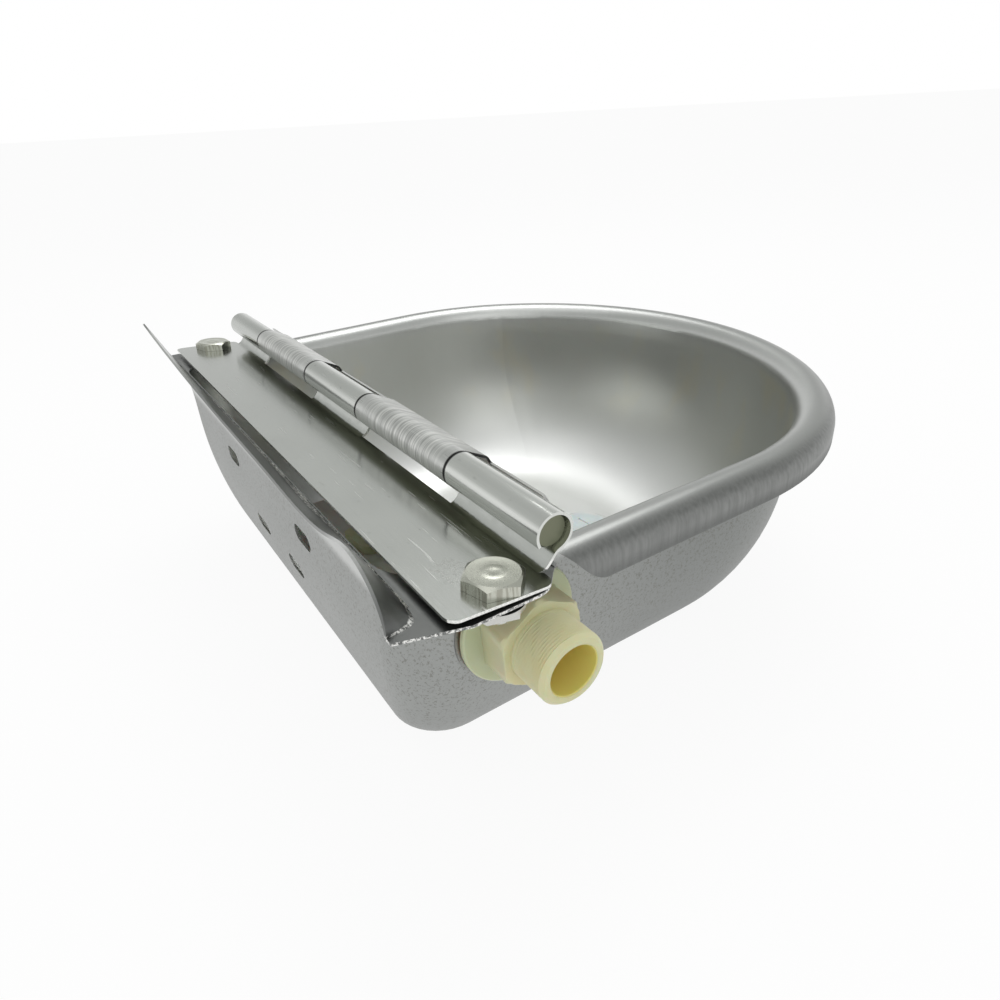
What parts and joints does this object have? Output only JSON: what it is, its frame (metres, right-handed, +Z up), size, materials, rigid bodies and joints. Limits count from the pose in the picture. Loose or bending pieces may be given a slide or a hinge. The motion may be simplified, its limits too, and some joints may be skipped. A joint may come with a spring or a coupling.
{
  "type": "livestock drinking bowl",
  "caption": "Drawn steel drinking bowl for livestock with a rolled rim, bolted cover, hinged splash flap, wall slots and a float valve fed from one side.",
  "frame": {"origin": "centre of the underside of the flat base", "axes": "+Z up, +Y towards the wall that the bowl hangs on, -X towards the water inlet"},
  "size_m": [0.3476, 0.3126, 0.135],
  "materials": {
    "drawn_steel": "satin stainless steel, as drawn",
    "polished_steel": "bright rolled stainless sheet",
    "flap_steel": "satin stainless sheet",
    "pin_steel": "dull drawn stainless rod",
    "fastener_steel": "bright stainless fastener",
    "ivory_plastic": "moulded, ivory",
    "float_plastic": "moulded, off-white",
    "white_plastic": "moulded, white",
    "nozzle_brass": "turned brass",
    "black_rubber": "soft, matt black"
  },
  "bodies": {
    "bowl": {"bowl_shell": "drawn_steel", "cover_plate": "polished_steel", "hinge_pin": "pin_steel", "cover_bolts": "fastener_steel", "cover_washers": "fastener_steel", "cover_nuts": "fastener_steel", "valve_body": "ivory_plastic", "outer_gasket": "black_rubber", "inner_gasket": "black_rubber", "lock_nut": "ivory_plastic", "valve_head": "ivory_plastic", "nozzle_seat": "nozzle_brass", "lever_pin": "fastener_steel", "pin_clips": "fastener_steel"},
    "flap": {"splash_flap": "flap_steel"},
    "float": {"float_lever": "ivory_plastic", "float_block": "float_plastic", "float_screws": "fastener_steel"},
    "plunger": {"plunger": "white_plastic", "plunger_seal": "black_rubber"},
    "plug": {"drain_plug": "white_plastic", "drain_seal": "black_rubber"}
  },
  "joints": [
    {"name": "flap_hinge", "type": "hinge", "parent": "bowl", "child": "flap", "pos_m": [0, 0.07335, 0.12492], "axis": [-1, 0, 0], "range_deg": [0, 220]},
    {"name": "float_pivot", "type": "hinge", "parent": "bowl", "child": "float", "pos_m": [-0.084, 0.07695, 0.0706], "axis": [0, -1, 0], "range_deg": [0, 20]},
    {"name": "plunger_slide", "type": "slide", "parent": "bowl", "child": "plunger", "axis": [-1, 0, 0], "range_m": [0, 0.0042]},
    {"name": "drain_pull", "type": "slide", "parent": "bowl", "child": "plug", "axis": [0, 0, 1], "range_m": [0, 0.03]}
  ],
  "couplings": [
    {"joint": "plunger_slide", "follows": "float_pivot", "m_per_rad": 0.012}
  ]
}
